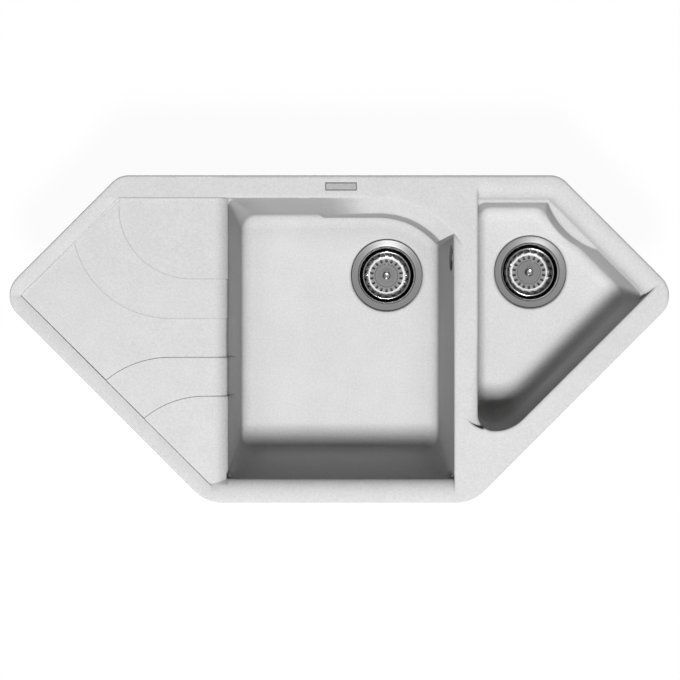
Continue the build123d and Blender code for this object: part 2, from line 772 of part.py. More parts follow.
def repeated(piece, locations):
    """the same solid at each of the places, as one group"""
    return Compound(children=[piece.moved(place) for place in locations])


finish(repeated(clip_socket.part, fixing_locations), "clip_sockets")
finish(repeated(fixing_clip.part, fixing_locations), "fixing_clips")
finish(repeated(clip_screw.part, fixing_locations), "clip_screws")

# ------------------------------------------------------------------ waste outlets
# drawn once round a vertical axis, with z = 0 on the bowl's floor
with BuildPart() as strainer_bowl:
    with BuildSketch(Plane.XZ):
        with BuildLine():
            bottom = -strainer_depth
            Polyline(
                (flange_radius, -sheet),
                (flange_radius, -0.6),
                (flange_radius - 1.5, 0.6),
                (flange_radius - 11, -0.4),
                (well_radius + 0.5, -3.5),
                (well_radius, bottom + 6),
            )
            ThreePointArc(
                (well_radius, bottom + 6), (well_radius - 1.76, bottom + 1.76), (well_radius - 6, bottom)
            )
            Polyline(
                (well_radius - 6, bottom),
                (throat_radius, bottom),
                (throat_radius, -throat_depth),
                (throat_radius + sheet, -throat_depth),
                (throat_radius + sheet, bottom - sheet),
                (well_radius - 6, bottom - sheet),
            )
            ThreePointArc(
                (well_radius - 6, bottom - sheet),
                (well_radius - 0.91, bottom + 0.91),
                (well_radius + sheet, bottom + 6),
            )
            Polyline(
                (well_radius + sheet, bottom + 6),
                (well_radius + 0.5 + sheet, -3.5 - sheet / 2),
                (flange_radius - 11, -sheet - 0.4),
                (flange_radius - 10, -sheet),
                (flange_radius, -sheet),
            )
        make_face()
    revolve(axis=Axis.Z)
    # three spokes and a hub in the throat
    with BuildSketch(Plane.XY.offset(-throat_depth)):
        Circle(8)
        with PolarLocations(throat_radius / 2, 3, start_angle=90):
            Rectangle(throat_radius + 1, 6)
        Circle(3.2, mode=Mode.SUBTRACT)
    extrude(amount=1.5)

with BuildPart() as flange_seal:
    with BuildSketch(Plane.XY.offset(-flange_rebate)):
        Circle(flange_radius - 1)
        Circle(flange_radius - 10, mode=Mode.SUBTRACT)
    extrude(amount=flange_rebate - sheet)

with BuildPart() as body_gasket:
    with BuildSketch(Plane.XY.offset(-wall - gasket_thickness)):
        Circle(flange_radius - 1)
        Circle(body_bore + 0.5, mode=Mode.SUBTRACT)
    extrude(amount=gasket_thickness)

with BuildPart() as waste_body:
    with BuildSketch(Plane.XZ):
        with BuildLine():
            Polyline(
                (body_bore, -wall - gasket_thickness),
                (flange_radius, -wall - gasket_thickness),
                (flange_radius, -wall - gasket_thickness - 4),
                (body_bore + 3.5, -wall - gasket_thickness - 5),
                (body_bore + 3.5, -bell_depth),
                (outlet_radius, -cone_depth),
                (outlet_radius, -outlet_depth),
                (outlet_bore, -outlet_depth),
                (outlet_bore, -cone_depth - 1),
                (body_bore, -bell_depth),
                close=True,
            )
        make_face()
    revolve(axis=Axis.Z)
    # boss that the clamp screw pulls on, on three ribs
    with BuildSketch(Plane.XY.offset(-boss_bottom)):
        Circle(8)
        with PolarLocations(15, 3, start_angle=30):
            Rectangle(26, 3)
    extrude(amount=boss_bottom - boss_top)
    with Locations((0, 0, -boss_bottom)):
        Cylinder(5, boss_bottom - boss_top, align=upwards, mode=Mode.SUBTRACT)
    # spigot to the side
    with BuildSketch(Plane((body_bore + 1, 0, -spigot_depth), x_dir=(0, 1, 0), z_dir=(1, 0, 0))):
        Circle(pipe_radius)
    extrude(amount=spigot_reach - body_bore - 1)
    with BuildSketch(Plane((body_bore - 2, 0, -spigot_depth), x_dir=(0, 1, 0), z_dir=(1, 0, 0))):
        Circle(pipe_bore)
    extrude(amount=spigot_reach, mode=Mode.SUBTRACT)

with BuildPart() as screw_insert:
    with Locations((0, 0, -boss_bottom)):
        Cylinder(5, boss_bottom - boss_top, align=upwards)
        Cylinder(3, boss_bottom - boss_top, align=upwards, mode=Mode.SUBTRACT)

with BuildPart() as clamp_screw:
    head_z = -throat_depth + 1.5
    with BuildSketch(Plane.XZ):
        with BuildLine():
            Polyline(
                (0, head_z + 3),
                (0, 2 - boss_bottom),
                (3, 2 - boss_bottom),
                (3, head_z),
                (5.5, head_z),
                (5.5, head_z + 1.8),
            )
            dome(5.5, head_z + 1.8, 1.2)
        make_face()
    revolve(axis=Axis.Z)
    with BuildSketch(Plane.XY.offset(head_z + 3)):
        Rectangle(9, 1.2)
    extrude(amount=-1.3, mode=Mode.SUBTRACT)

with BuildPart() as basket:
    with BuildSketch(Plane.XZ):
        with BuildLine():
            Polyline(
                (3 + running, -basket_floor),
                (18, -basket_floor),
                (18.6, -basket_floor - 1),
                (basket_foot, -basket_floor - 1),
                (basket_top, -basket_rim),
                (basket_top + 1.6, -basket_rim),
                (basket_top + 1.6, -basket_rim - 1),
                (basket_top + 0.9, -basket_rim - 1),
                (basket_foot + 0.9, -basket_floor - 2),
                (17.6, -basket_floor - 2),
                (17, -basket_floor - 1),
                (3 + running, -basket_floor - 1),
                close=True,
            )
        make_face()
    revolve(axis=Axis.Z)
    # rolled rim
    with BuildSketch(Plane.XZ):
        with Locations((basket_top + 1, -basket_rim)):
            Circle(1.3)
    revolve(axis=Axis.Z)
    # slots in the wall and in the floor
    with BuildSketch(Plane.YZ.offset(basket_foot - 4)):
        with Locations((0, -(basket_rim + basket_floor) / 2)):
            SlotOverall(basket_floor - basket_rim - 5, wall_slot_width, rotation=90)
    wall_slot = extrude(amount=basket_top, mode=Mode.PRIVATE)
    with PolarLocations(0, basket_slots, start_angle=90 + 180 / basket_slots):
        add(wall_slot, mode=Mode.SUBTRACT)
    with BuildSketch(Plane.XY.offset(-basket_floor - wall)):
        with PolarLocations((18.6 + basket_foot) / 2, basket_slots, start_angle=90):
            SlotOverall(*floor_slot)
    extrude(amount=2 * wall, mode=Mode.SUBTRACT)

with BuildPart() as basket_stopper:
    with BuildSketch(Plane.XZ):
        Polygon(
            (3 + running, -basket_floor - 1),
            (9, -basket_floor - 1),
            (9, -stopper_top),
            (stopper_radius - 1, -stopper_top),
            (stopper_radius, -stopper_top - 1),
            (stopper_radius, seat_gap - strainer_depth),
            (throat_radius - plug_clearance, seat_gap - strainer_depth),
            (throat_radius - plug_clearance - 1, -stopper_bottom),
            (3 + running, -stopper_bottom),
            align=None,
        )
    revolve(axis=Axis.Z)

with BuildPart() as basket_knob:
    with BuildSketch(Plane.XZ):
        with BuildLine():
            Polyline(
                (0, -stopper_bottom - nut_height),
                (3, -stopper_bottom - nut_height),
                (3, -basket_floor),
                (6.5, -basket_floor),
                (6.5, -basket_floor + 1),
            )
            ThreePointArc((6.5, -basket_floor + 1), (3.9, -basket_floor + 3), (3.4, -basket_floor + 8))
            Polyline(
                (3.4, -basket_floor + 8), (3.6, -knob_top - 6), (5.5, -knob_top - 5), (5.5, -knob_top - 1.2)
            )
            ThreePointArc((5.5, -knob_top - 1.2), (5.1, -knob_top - 0.3), (4.2, -knob_top))
            dome(4.2, -knob_top, -0.8)
            Line((0, -knob_top - 0.8), (0, -stopper_bottom - nut_height))
        make_face()
    revolve(axis=Axis.Z)

with BuildPart() as stem_nut:
    with BuildSketch(Plane.XY.offset(-stopper_bottom - nut_height)):
        RegularPolygon(6, 6)
        Circle(3 + running, mode=Mode.SUBTRACT)
    extrude(amount=nut_height)

with BuildPart() as inlet_cap:
    with BuildSketch(Plane((spigot_reach - 12, 0, -spigot_depth), x_dir=(0, 1, 0), z_dir=(1, 0, 0))):
        Circle(pipe_radius + 2.5)
    extrude(amount=14)
    with BuildSketch(Plane((spigot_reach - 12, 0, -spigot_depth), x_dir=(0, 1, 0), z_dir=(1, 0, 0))):
        Circle(pipe_radius + running)
    extrude(amount=12, mode=Mode.SUBTRACT)
    fillet(inlet_cap.faces().sort_by(Axis.X)[-1].edges(), 1)

pipe_x, pipe_y = divider_left_x + pipe_from_bowl, overflow_y
main_turn = degrees(atan2(pipe_y - main_waste[1], pipe_x - main_waste[0]))
places = {
    "main": Location((*main_waste, main_floor_z), (0, 0, main_turn)),
    "small": Location((*small_waste, small_floor_z), (0, 0, 0)),
}
for bowl, place in places.items():
    for piece, name in (
        (strainer_bowl, "strainer_bowl"),
        (flange_seal, "flange_seal"),
        (body_gasket, "body_gasket"),
        (waste_body, "waste_body"),
        (screw_insert, "screw_insert"),
        (clamp_screw, "clamp_screw"),
    ):
        finish(piece.part.moved(place), f"{name}_{bowl}")
    upright = Location(place.position)
    for piece, name in (
        (basket, "basket"),
        (basket_stopper, "basket_stopper"),
        (basket_knob, "basket_knob"),
        (stem_nut, "stem_nut"),
    ):
        finish(piece.part.moved(upright), f"{name}_{bowl}")
finish(inlet_cap.part.moved(places["small"]), "inlet_cap")

# ------------------------------------------------------------------ overflow
rosette_depth = overflow_sink - rosette_thickness
with BuildPart() as overflow_rosette:
    with BuildSketch(overflow_plane.offset(rosette_depth)):
        Circle(overflow_radius)
        with PolarLocations(rosette_hole_circle, rosette_holes):
            Circle(rosette_hole_radius, mode=Mode.SUBTRACT)
        Circle(screw_radius + running, mode=Mode.SUBTRACT)
    extrude(amount=rosette_thickness)
    with Locations(overflow_plane.offset(rosette_depth)):
        Cone(
            countersink_radius + running,
            screw_radius + running,
            countersink_depth,
            align=upwards,
            mode=Mode.SUBTRACT,
        )

with BuildPart() as overflow_screw:
    with BuildSketch(Plane(overflow_plane.origin, x_dir=overflow_plane.x_dir, z_dir=overflow_plane.y_dir)):
        # local y runs towards the bowl here
        Polygon(
            (0, -rosette_depth),
            (countersink_radius - running, -rosette_depth),
            (screw_radius - running, -rosette_depth - countersink_depth),
            (screw_radius - running, -overflow_screw_length),
            (0, -overflow_screw_length),
            align=None,
        )
    revolve(axis=Axis(overflow_plane.origin, overflow_plane.z_dir))
    with BuildSketch(overflow_plane.offset(rosette_depth)):
        Rectangle(1.1, 2 * countersink_radius - 2)
    extrude(amount=0.9, mode=Mode.SUBTRACT)

wall_across = wall * cos(atan2(wall_fall, 1))
hood_start = wall_across + overflow_seal_thickness
with BuildPart() as overflow_seal:
    with BuildSketch(overflow_plane.offset(wall_across)):
        Circle(hood_radius)
        Circle(hood_radius - 7, mode=Mode.SUBTRACT)
    extrude(amount=overflow_seal_thickness)

with BuildPart() as overflow_hood:
    with BuildSketch(overflow_plane.offset(hood_start)):
        Circle(hood_radius)
    extrude(amount=hood_thickness)
    neck_height = hood_bottom + overflow_z
    with Locations((pipe_x - neck_thickness / 2, pipe_y, -hood_bottom)):
        Box(neck_thickness, neck_width, neck_height, align=(Align.MIN, Align.CENTER, Align.MIN))
    with Locations((pipe_x, pipe_y, -hood_bottom)):
        Cylinder(pipe_radius, spigot_length, align=downwards)
    # the channel inside
    with BuildSketch(overflow_plane.offset(hood_start)):
        Circle(hood_radius - 7)
    extrude(amount=hood_thickness - 2, mode=Mode.SUBTRACT)
    with Locations((pipe_x - neck_thickness / 2 + 2, pipe_y, 2 - hood_bottom)):
        Box(
            neck_thickness - 4, neck_width - 4, neck_height, align=(Align.MIN, Align.CENTER, Align.MIN),
            mode=Mode.SUBTRACT,
        )
    with Locations((pipe_x, pipe_y, 4 - hood_bottom)):
        Cylinder(pipe_bore - 0.5, spigot_length + 4, align=downwards, mode=Mode.SUBTRACT)
    # post for the rosette's screw
    with BuildSketch(overflow_plane.offset(post_start)):
        Circle(4)
    extrude(amount=hood_start + hood_thickness - 1 - post_start)
    with BuildSketch(overflow_plane.offset(post_start)):
        Circle(screw_radius)
    extrude(amount=overflow_screw_length - post_start + 1, mode=Mode.SUBTRACT)

pipe_start_z = -hood_bottom - spigot_length - 0.5
pipe_end_z = main_floor_z - spigot_depth
main_distance = sqrt((pipe_x - main_waste[0]) ** 2 + (pipe_y - main_waste[1]) ** 2)
to_waste = Vector(main_waste[0] - pipe_x, main_waste[1] - pipe_y, 0).normalized()
spigot_end = Vector(pipe_x, pipe_y, pipe_end_z) + to_waste * (main_distance - spigot_reach)
with BuildPart() as overflow_pipe:
    with BuildLine():
        down = Line((pipe_x, pipe_y, pipe_start_z), (pipe_x, pipe_y, pipe_end_z + pipe_bend))
        bend_middle = Vector(pipe_x, pipe_y, pipe_end_z + pipe_bend) + to_waste * pipe_bend * (1 - 1 / root2)
        bend_end = Vector(pipe_x, pipe_y, pipe_end_z) + to_waste * pipe_bend
        ThreePointArc(down @ 1, bend_middle - Vector(0, 0, pipe_bend / root2), bend_end)
        Line(bend_end, spigot_end - to_waste * 0.5)
    with BuildSketch(Plane.XY.offset(pipe_start_z)):
        with Locations((pipe_x, pipe_y)):
            Circle(pipe_radius)
            Circle(pipe_bore, mode=Mode.SUBTRACT)
    sweep()

with BuildPart() as pipe_nut:
    Cylinder(nut_sleeve_radius, nut_sleeve_length)
    Cylinder(pipe_radius + running, nut_sleeve_length, mode=Mode.SUBTRACT)

finish(overflow_rosette.part, "overflow_rosette")
finish(overflow_screw.part, "overflow_screw")
finish(overflow_seal.part, "overflow_seal")
finish(overflow_hood.part, "overflow_hood")
finish(overflow_pipe.part, "overflow_pipe")
nut_places = [
    Location((pipe_x, pipe_y, pipe_start_z)),
    Location(Plane(spigot_end, z_dir=to_waste)),
]
finish(repeated(pipe_nut.part, nut_places), "pipe_nuts")
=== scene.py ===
# %% [markdown]
# # Dressing a corner kitchen sink
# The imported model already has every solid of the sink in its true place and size. This script
# gives each solid the finish of the real thing and sets up a plain studio, with the camera
# straight above.

import math

import bpy
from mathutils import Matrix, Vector


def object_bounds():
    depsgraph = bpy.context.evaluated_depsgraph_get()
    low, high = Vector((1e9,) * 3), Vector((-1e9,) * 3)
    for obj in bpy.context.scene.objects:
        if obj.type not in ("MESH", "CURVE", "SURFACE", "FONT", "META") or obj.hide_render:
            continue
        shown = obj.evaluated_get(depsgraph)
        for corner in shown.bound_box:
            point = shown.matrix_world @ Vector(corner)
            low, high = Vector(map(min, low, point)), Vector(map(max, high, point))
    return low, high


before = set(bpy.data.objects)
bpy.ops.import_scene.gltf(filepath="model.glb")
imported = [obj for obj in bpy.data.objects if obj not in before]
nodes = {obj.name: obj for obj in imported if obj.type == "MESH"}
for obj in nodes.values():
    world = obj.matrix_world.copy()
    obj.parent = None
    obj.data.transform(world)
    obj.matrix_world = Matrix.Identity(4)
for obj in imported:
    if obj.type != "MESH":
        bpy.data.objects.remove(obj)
cad_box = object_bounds()
print("nodes:", len(nodes), "box:", [tuple(round(v, 3) for v in corner) for corner in cad_box])

# %% [markdown]
# ## Shader maths as plain expressions
# A material is a graph of nodes, and most of it is arithmetic on masks. Wrapping a socket in a
# small class lets the arithmetic be written as in Python, and one method makes every other node.
# All lengths are in metres.


# %% A wrapper round one socket
class Link:
    """one socket of a shader graph; arithmetic on it adds Math nodes"""

    def __init__(self, tree, socket):
        self.tree = tree
        self.socket = socket

    def calculate(self, operation, first, second=0.0):
        """adds one Math node"""
        return node(self.tree, "ShaderNodeMath", {"operation": operation}, {0: first, 1: second})

    def __add__(self, other):
        return self.calculate("ADD", self, other)

    def __radd__(self, other):
        return self.calculate("ADD", other, self)

    def __sub__(self, other):
        return self.calculate("SUBTRACT", self, other)

    def __rsub__(self, other):
        return self.calculate("SUBTRACT", other, self)

    def __mul__(self, other):
        return self.calculate("MULTIPLY", self, other)

    def __rmul__(self, other):
        return self.calculate("MULTIPLY", other, self)

    def __gt__(self, other):
        return self.calculate("GREATER_THAN", self, other)

    def __lt__(self, other):
        return self.calculate("LESS_THAN", self, other)

    def __abs__(self):
        return self.calculate("ABSOLUTE", self)


# %% One method for every other node
def node(tree, kind, settings=None, inputs=None, output=0):
    """adds one node: its settings first, then the values or links of its sockets"""
    made = tree.nodes.new(kind)
    for name, value in (settings or {}).items():
        if name == "stops":
            ramp = made.color_ramp
            while len(ramp.elements) < len(value):
                ramp.elements.new(0.5)
            for element, (position, colour) in zip(ramp.elements, value):
                element.position = position
                element.color = colour
        else:
            setattr(made, name, value)
    for name, value in (inputs or {}).items():
        if isinstance(value, Link):
            tree.links.new(value.socket, made.inputs[name])
        else:
            made.inputs[name].default_value = value
    return Link(tree, made.outputs[output])


# %% A material with one glossy shader
def new_material(name, **sockets):
    """a material with the plain values set on its shader; returns it with its tree and shader"""
    made = bpy.data.materials.new(name)
    made.use_nodes = True
    tree = made.node_tree
    shader = tree.nodes["Principled BSDF"]
    for socket, value in sockets.items():
        shader.inputs[socket.replace("_", " ")].default_value = value
    return made, tree, shader


def feed(shader, socket, value):
    """links a varying value to one socket of the shader"""
    value.tree.links.new(value.socket, shader.inputs[socket])


def dress(material, *names):
    """gives CAD nodes a finish"""
    for name in names:
        mesh = nodes[name].data
        mesh.materials.clear()
        mesh.materials.append(material)
    print(material.name, "on", ", ".join(names))


# %% [markdown]
# ## The stone composite
# The basin is cast from quartz sand and resin. From a distance it is one pale grey, quite matt;
# close up it has grains a few millimetres wide, a little lighter or darker, with finer ones
# between them, and a slightly rough skin. Three noises vary the tone, from broad clouds down to
# the finest grains. A picture of stone could do the same, but would show seams and repeat.


# %% Clouds on a piece
def noise(tree, density, detail, stretch=(1, 1, 1)):
    """random clouds on the piece, this many to the metre; stretch packs one axis closer"""
    where = node(tree, "ShaderNodeTexCoord", output="Object")
    stretched = node(tree, "ShaderNodeMapping", inputs={"Vector": where, "Scale": stretch})
    sockets = {"Vector": stretched, "Scale": density, "Detail": detail}
    return node(tree, "ShaderNodeTexNoise", inputs=sockets)


# %% Grains
STONE = 0.52  # the share of light that the plain stone throws back
STONE_GRAINS = {25.0: 0.1, 330.0: 0.3, 1400.0: 0.3}  # clouds to the metre: how much they vary it

stone, tree, shader = new_material(
    "stone composite", Roughness=0.75, IOR=1.5, Specular_IOR_Level=0.1
)
variation = 1.0
for density, share in STONE_GRAINS.items():
    grains = noise(tree, density, detail=2.0)
    variation = variation + (grains - 0.5) * share
finest_grains = grains
print("stone noises, clouds to the metre:", list(STONE_GRAINS))

# %% [markdown]
# The steep walls of the bowls get painted shade in their colour, darker than the flat of the rim,
# and more so further down. A soft lamp alone leaves them too pale, so the painted shade stands in
# for the rest of their shading. It follows the surface's own slope, which is the upward part of
# its normal, and how deep the spot lies.


# %% Where a spot is, which way it faces, and a soft border
def axes(tree, coordinate="Object"):
    """x, y and z of a coordinate: of the spot itself (Object) or of its facing (Normal)"""
    where = node(tree, "ShaderNodeTexCoord", output=coordinate)
    parts = node(tree, "ShaderNodeSeparateXYZ", inputs={0: where}).socket.node
    return [Link(tree, part) for part in parts.outputs]


def fade(value, start, end, low=0.0, high=1.0, curve="LINEAR"):
    """goes from low to high as the value goes from start to end, and stays there"""
    sockets = {0: value, 1: start, 2: end, 3: low, 4: high}
    return node(value.tree, "ShaderNodeMapRange", {"interpolation_type": curve}, sockets)


# %% Painted shade on steep walls
WALL_SHADE_TOP, WALL_SHADE_FOOT = 0.1, 0.28  # how much darker a wall is at its top and its foot
BOWL_DEPTH = 0.185
SLOPE_STARTS, SLOPE_STEEP = 0.6, 0.1  # upward part of the normal
x, y, height = axes(tree)
upward = axes(tree, "Normal")[2]
steepness = fade(upward, SLOPE_STARTS, SLOPE_STEEP)
# painted shade: steep walls darker, and more so further down
steep_wall_shade = steepness * fade(height, 0.0, -BOWL_DEPTH, WALL_SHADE_TOP, WALL_SHADE_FOOT)
print("wall tone from", WALL_SHADE_TOP, "to", WALL_SHADE_FOOT)

# %% [markdown]
# The four curved steps of the drainer, the ledge behind it and its far side each keep a thin
# line of shade at their foot. The steps are in the solid, but they are so low that soft light
# hardly shades them. The foot of a step is a round end that runs on to the right as a straight,
# so a spot's distance from it is taken from the middle of the round end, and to the right of
# this middle only the sideways part counts.


# %% Distances
def smaller(first, second):
    """the smaller of two values"""
    return first.calculate("MINIMUM", first, second)


def distance(across, along):
    """how far a spot is from a middle, from its two offsets"""
    return across.calculate("SQRT", across * across + along * along)


# %% Shade at the foot of the drainer's steps
STEP_FEET = (  # middle of the round end, its radius, how dark
    (-0.225, 0.201, 0.110, 0.2),
    (-0.257, 0.180, 0.149, 0.2),
    (-0.257, -0.181, 0.153, 0.1),
    (-0.204, -0.231, 0.144, 0.1),
)
FOOT_WIDTH = 0.0016  # from the middle of a line to where it ends
STEPS_TO = -0.17  # x where the drainer ends
NEAR_FOOT = (-0.7058, -0.7084, 0.2933)  # the drainer's two slanting sides: normal and distance
FAR_FOOT = (-0.6912, 0.7229, 0.3825)


def foot_line(off, depth):
    """a thin line of shade, darkest where the distance off it is nothing"""
    return fade(off, FOOT_WIDTH, 0.0, 0.0, depth)


on_drainer = x < STEPS_TO
for normal_x, normal_y, reach in (NEAR_FOOT, FAR_FOOT):
    on_drainer = on_drainer * (x * normal_x + y * normal_y < reach)
feet = 0.0
for middle_x, middle_y, radius, depth in STEP_FEET:
    aside = y - middle_y
    far = distance(smaller(x - middle_x, 0.0), aside)
    towards_drainer = aside > 0.0 if middle_y < 0 else aside < 0.0
    feet = foot_line(abs(far - radius), depth) * towards_drainer + feet
print("lines of shade at", len(STEP_FEET), "steps")

# %% Shade at the foot of the ledge and of the drainer's far side
LEDGE_FOOT = 0.214  # y
LEDGE_FROM = -0.334  # x where its line starts
FAR_FROM, FAR_TO = -0.48, -0.332  # x between which the far side's line runs
BOWLS_FROM = -0.172  # x where the drainer's ground gives way to the bowls
LEDGE_SHADE, FAR_SHADE = 0.32, 0.12
# a mask adds a whole metre to the distance where a line doesn't run
ledge_off = abs(y - LEDGE_FOOT) + (x < LEDGE_FROM)
far_off = abs(x * FAR_FOOT[0] + y * FAR_FOOT[1] - FAR_FOOT[2]) + (x > FAR_TO) + (x < FAR_FROM)
border = foot_line(far_off, FAR_SHADE) + foot_line(ledge_off, LEDGE_SHADE)
shade = feet * on_drainer + border * (x < BOWLS_FROM)
print("lines of shade at the ledge and the far side")

# %% [markdown]
# Some small places of the large bowl get more painted shade than slope and depth give them: the
# lip where the drainer rolls over into the bowl, the two tight front corners, and the recess round
# the overflow's cover. Each gets a mask by its place, which leaves the stone beside it alone.

# %% Shade where the drainer rolls over into the bowl
ROLL_FROM, ROLL_TO, ROLL_SHADE = -0.196, -0.17, 0.26
ROLL_LIP = 0.0015  # how far past it the shade goes on
ROLL_LOWEST, ROLL_HIGHEST = -0.03, 0.005
over = fade(x, ROLL_FROM, ROLL_TO, curve="SMOOTHSTEP")
on_roll = (x < ROLL_TO + ROLL_LIP) * (height > ROLL_LOWEST) * (height < ROLL_HIGHEST)
# painted shade on the roll, darkest where it turns down into the bowl
shade = shade + over * over * on_roll * ROLL_SHADE
print("roll shaded over", round(ROLL_TO - ROLL_FROM, 3))

# %% Painted shade in the tight front corners of the large bowl
CORNERS = ((-0.170, -0.2085), (0.1724, -0.2085))
CORNER_REACH, CORNER_CORE, CORNER_SHADE = 0.009, 0.0027, 0.65
CORNERS_BELOW = -0.004  # height under which they count
for corner_x, corner_y in CORNERS:
    far = distance(x - corner_x, y - corner_y)
    deep = fade(far, CORNER_REACH, CORNER_CORE, 0.0, CORNER_SHADE)
    # painted shade round each corner, below the rim
    shade = shade + deep * (height < CORNERS_BELOW)
print("corners:", len(CORNERS))


# %% The box round a CAD node
def extent(name):
    """the lowest and the highest corner of a CAD node's box"""
    corners = [vertex.co for vertex in nodes[name].data.vertices]
    return [[pick(corner[i] for corner in corners) for i in range(3)] for pick in (min, max)]


# %% Shade in the recess round the overflow
RECESS_SHADE = 0.75
RECESS_GAP, RECESS_DEPTH = 0.0015, 0.004  # round the cover, and before and behind it
low, high = extent("overflow_rosette")
far = distance(y - (low[1] + high[1]) / 2, height - (low[2] + high[2]) / 2)
in_recess = far < (high[1] - low[1]) / 2 + RECESS_GAP
in_recess = in_recess * (x > low[0] - RECESS_DEPTH) * (x < high[0] + RECESS_DEPTH)
# painted shade in the recess round the overflow's cover
shade = shade + in_recess * RECESS_SHADE
print("overflow cover", [round(v, 4) for v in (*low, *high)])

# %% [markdown]
# Towards the wide hollow where wall and floor meet, the stone gets a soft painted shade in its
# colour. An Ambient Occlusion node measures how much of the piece itself stands round each spot,
# within a set distance, whatever side it is seen from. The side bowl is shallower, so it gets less
# of this painted shade and of the walls' painted shade. With that the stone's colour is complete.

# %% Soft shade in the hollows
HOLLOW_REACH, HOLLOW_SHADE = 0.06, 0.4
SIDE_BOWL_FROM = 0.2  # x
SIDE_HOLLOW_SHADE, SIDE_WALL_SHARE = 0.12, 0.35
own_surface = {"samples": 6, "only_local": True}
within = {"Distance": HOLLOW_REACH}
opening = node(tree, "ShaderNodeAmbientOcclusion", own_surface, within, output="AO")
in_side_bowl = x > SIDE_BOWL_FROM
in_bowls = x > BOWLS_FROM
hollow_share = in_bowls * HOLLOW_SHADE - in_side_bowl * (HOLLOW_SHADE - SIDE_HOLLOW_SHADE)
hollow = (1.0 - opening) * hollow_share
steep_wall_shade = steep_wall_shade * (1.0 - in_side_bowl * (1.0 - SIDE_WALL_SHARE))
# the stone's grains, less the painted shade of walls, lines, small places and hollows
feed(shader, "Base Color", variation * (1.0 - steep_wall_shade) * (1.0 - shade) * (1.0 - hollow) * STONE)
print("hollows shaded within", HOLLOW_REACH)

# %% [markdown]
# The outer rim is crisp, but round the bowls the mould leaves wide soft edges. A Bevel node bends
# the shading normals within its radius of an edge; a narrow one serves the rim and the drainer,
# a wide one the bowls, and the place along the sink decides between them. The finest grains then
# lift the skin a little.


# %% A lifted skin
def lift(height, strength, depth, normal=None):
    """a Bump node, which bends the light as if the height stood up by the depth"""
    sockets = {"Strength": strength, "Distance": depth, "Height": height}
    if normal:
        sockets["Normal"] = normal
    return node(height.tree, "ShaderNodeBump", inputs=sockets)


# %% The stone's edges and skin
RIM_ROUNDING, BOWL_ROUNDING = 0.0012, 0.0075
NARROW_TO = -0.19  # x up to which only the narrow one counts
narrow = node(tree, "ShaderNodeBevel", {"samples": 4}, {"Radius": RIM_ROUNDING})
wide = node(tree, "ShaderNodeBevel", {"samples": 8}, {"Radius": BOWL_ROUNDING})
near_bowls = fade(x, NARROW_TO, BOWLS_FROM)
# in a Mix node for vectors, sockets 4 and 5 take the vectors and output 1 gives the result
by_place = {0: near_bowls, 4: narrow, 5: wide}
edges = node(tree, "ShaderNodeMix", {"data_type": "VECTOR"}, by_place, output=1)
feed(shader, "Normal", lift(finest_grains, strength=0.15, depth=0.0002, normal=edges))
dress(stone, "basin")

# %% [markdown]
# ## Pressed and turned metal
# The strainers and baskets are pressed from stainless sheet and polished, the overflow's cover is
# a little duller, and the screws and clips are duller again. Bent and rolled steel is never quite
# even: a noise leaves smears that vary its tone and its gloss.


# %% Tones and gloss that vary
def grey(level):
    """a neutral colour at one level"""
    return (level, level, level, 1.0)


def uneven(clouds, middle, swing):
    """a value that a noise moves round its middle, by half the swing each way"""
    return clouds * swing + (middle - swing / 2)


def two_tones(clouds, darker, lighter):
    """a noise turned into two colours with a soft border between them"""
    stops = [(0.35, darker), (0.65, lighter)]  # most of a noise lies between these levels
    return node(clouds.tree, "ShaderNodeValToRGB", {"stops": stops}, {"Fac": clouds})


# %% Steel
def steel(name, level, roughness):
    """stainless steel of a given brightness and dullness, with smears"""
    made, tree, shader = new_material(name, Metallic=1.0)
    smears = noise(tree, density=90.0, detail=3.0)
    feed(shader, "Roughness", uneven(smears, roughness, swing=0.12))
    feed(shader, "Base Color", two_tones(smears, grey(level * 0.93), grey(level * 1.05)))
    return made


# %% [markdown]
# A polishing wheel leaves fine rings round the middle of a waste. The distance from its axis
# drives a noise, which varies the gloss and the tone and lifts the rings. The same distance picks
# painted dark and bright rings: painted shade and painted reflections that stand in for the dark
# and bright rings a dished form throws. The angle round the axis paints a highlight on the ribs
# that stand between a basket's slots. The painted levels are greys, so Math nodes can carry them.

# %% Steel with rings round one waste
REACH = 0.06  # past the widest flange
RINGS_TO_THE_METRE = 2600.0
RIBS_FROM, RIBS_TO = 0.029, 0.0325  # radii of the foot of a basket's side
# a rib gets a painted highlight
RIB_SHARE, RIB_HIGHLIGHT = 0.3, 0.6  # how high a rib's wave must be, and what it adds


def ringed_steel(name, tones_and_painted_light, roughness, middle, ribs=0):
    """steel polished on a wheel, ringed round an upright axis; tones_and_painted_light pairs
    radius and brightness, the steel's grey with painted shade and highlight rings, ribs is the
    number of ribs that run up the side of a basket and get a painted highlight"""
    made, tree, shader = new_material(name, Metallic=1.0)
    x, y, height = axes(tree)
    away_x, away_y = x - middle[0], y - middle[1]
    radius = distance(away_x, away_y)
    around = {0: radius * RINGS_TO_THE_METRE, 1: height * RINGS_TO_THE_METRE, 2: 0.0}
    ring_place = node(tree, "ShaderNodeCombineXYZ", inputs=around)
    one_cloud_each = {"Vector": ring_place, "Scale": 1.0, "Detail": 2.0}
    rings = node(tree, "ShaderNodeTexNoise", inputs=one_cloud_each)
    feed(shader, "Roughness", uneven(rings, roughness, swing=0.12))
    # the steel's grey with painted shade and highlight rings, by distance from the axis
    stops = [(at / REACH, grey(level)) for at, level in tones_and_painted_light]
    tone = node(tree, "ShaderNodeValToRGB", {"stops": stops}, {"Fac": radius * (1 / REACH)})
    if ribs:
        turn = away_y.calculate("ARCTAN2", away_y, away_x)
        wave = turn.calculate("COSINE", turn * ribs + math.pi)
        # painted highlight on the ribs between the slots
        tone = tone + (wave > RIB_SHARE) * (radius > RIBS_FROM) * (radius < RIBS_TO) * RIB_HIGHLIGHT
    feed(shader, "Base Color", tone * uneven(rings, 1.0, swing=0.5))
    feed(shader, "Normal", lift(rings, strength=0.1, depth=0.0001))
    return made


